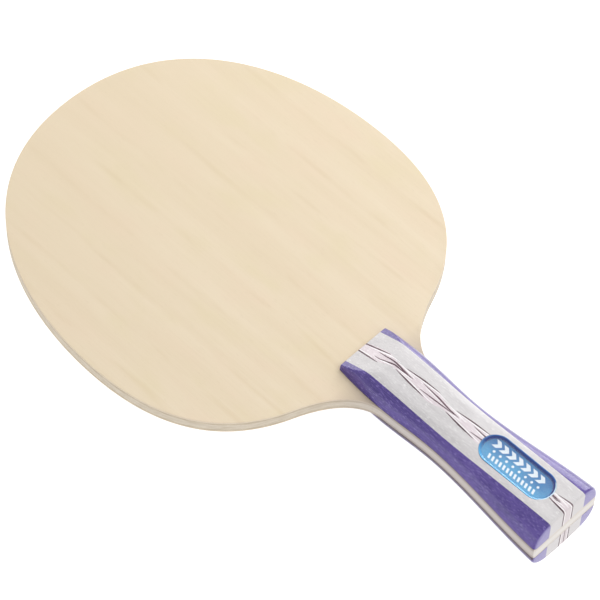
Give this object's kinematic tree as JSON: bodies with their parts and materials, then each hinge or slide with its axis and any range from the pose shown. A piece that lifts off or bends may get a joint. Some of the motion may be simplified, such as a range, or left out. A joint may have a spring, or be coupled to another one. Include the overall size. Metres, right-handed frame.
{
  "type": "table tennis paddle",
  "caption": "Bare table tennis paddle: a flat oval plywood blade with a flared handle of laminated wood scales and an inset badge.",
  "frame": {"origin": "middle of the paddle's box: on the middle plane of the blade, on the paddle's centre line", "axes": "+Y along the handle towards the tip of the head, +Z out of the front face that carries the badge, +X to the right"},
  "size_m": [0.15, 0.257, 0.025],
  "materials": {
    "face_veneer": "sanded bare light veneer",
    "inner_ply": "sanded ply edge",
    "core_ply": "sanded ply edge",
    "violet_wood": "dyed violet, satin",
    "grey_wood": "dyed pale grey, satin",
    "pale_inlay": "pale pinkish inlay, satin",
    "dark_veneer": "dark brown veneer, satin",
    "badge_tray": "glossy deep blue",
    "badge_plate": "glossy sky blue print",
    "badge_lens": "clear polished plastic"
  },
  "bodies": {
    "root": {"front_face_veneer": "face_veneer", "front_inner_ply": "inner_ply", "core_ply": "core_ply", "rear_inner_ply": "inner_ply", "rear_face_veneer": "face_veneer", "front_left_side": "violet_wood", "front_right_side": "violet_wood", "front_left_plank": "grey_wood", "front_right_plank": "grey_wood", "front_left_twist_veneer": "dark_veneer", "front_right_twist_veneer": "dark_veneer", "front_twist_infill": "pale_inlay", "rear_left_side": "violet_wood", "rear_right_side": "violet_wood", "rear_left_plank": "grey_wood", "rear_right_plank": "grey_wood", "rear_left_twist_veneer": "dark_veneer", "rear_right_twist_veneer": "dark_veneer", "rear_twist_infill": "pale_inlay", "badge_tray": "badge_tray", "badge_plate": "badge_plate", "badge_lens": "badge_lens"}
  },
  "joints": []
}
